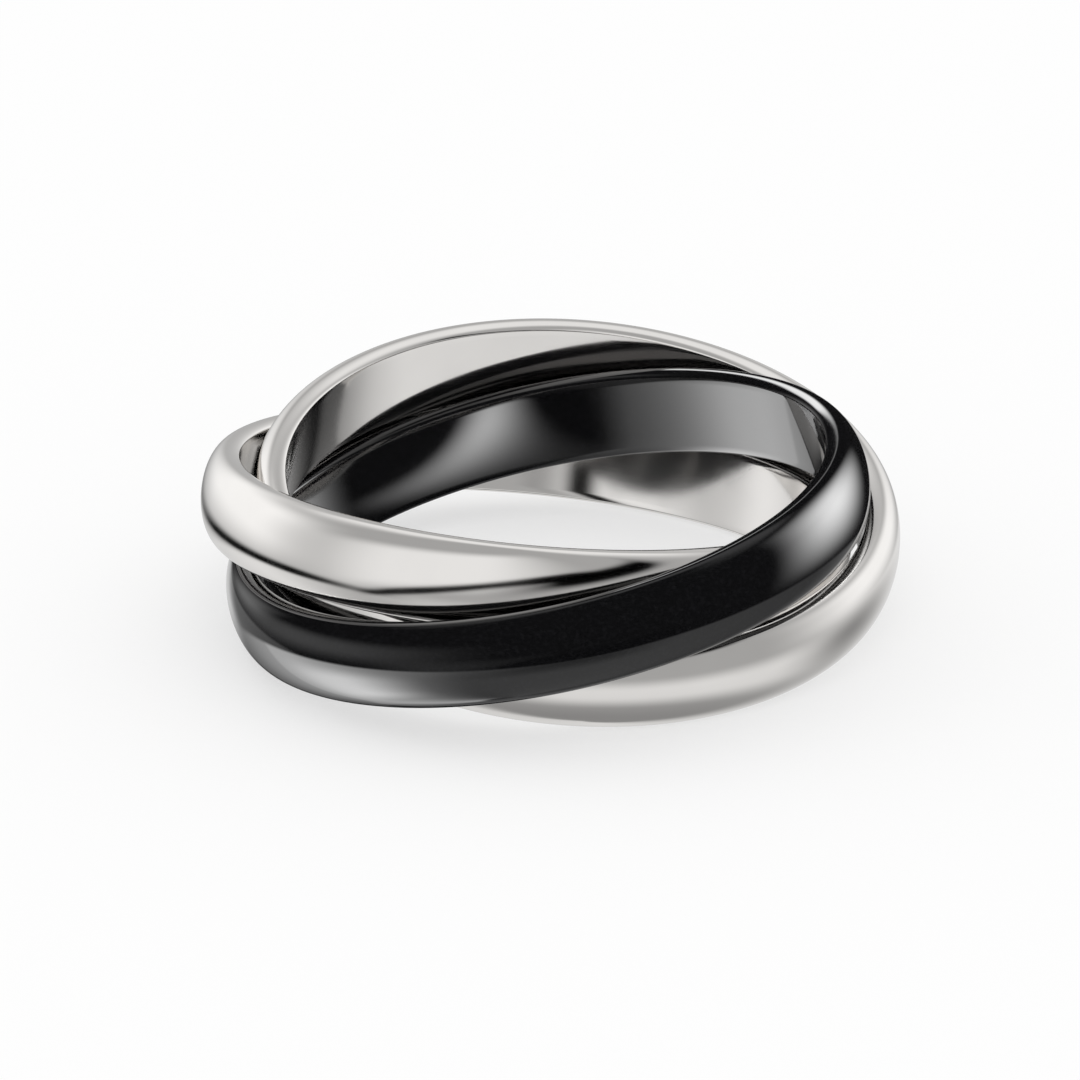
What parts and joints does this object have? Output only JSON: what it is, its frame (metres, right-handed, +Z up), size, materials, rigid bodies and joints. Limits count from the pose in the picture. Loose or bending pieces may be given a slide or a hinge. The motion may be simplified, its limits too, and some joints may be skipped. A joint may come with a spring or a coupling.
{
  "type": "rolling ring",
  "caption": "Finger ring of interlocked polished bands, black and white, each domed outside and flat inside, that roll over one another as the ring goes on.",
  "frame": {"origin": "on the surface that the ring lies on, under the middle of its box", "axes": "+Z up through the finger hole, -Y towards the side that the picture shows in front, +X to the picture's right, where the black band is highest"},
  "size_m": [0.0234, 0.0232, 0.0069],
  "materials": {
    "white_metal": "mirror polished white metal, such as steel",
    "black_gloss": "high gloss black ceramic"
  },
  "bodies": {
    "white_band_front": {"white_band_front": "white_metal"},
    "white_band_back": {"white_band_back": "white_metal"},
    "black_band": {"black_band": "black_gloss"}
  },
  "joints": [
    {"name": "white_band_back_roll", "type": "hinge", "parent": "white_band_front", "child": "white_band_back", "pos_m": [0.00081, 0.00075, 0.00344], "axis": [0.0963, -0.1667, 0.9813], "continuous": true},
    {"name": "black_band_roll", "type": "hinge", "parent": "white_band_front", "child": "black_band", "pos_m": [0, -0.00064, 0.00344], "axis": [-0.1925, 0, 0.9813], "continuous": true}
  ]
}
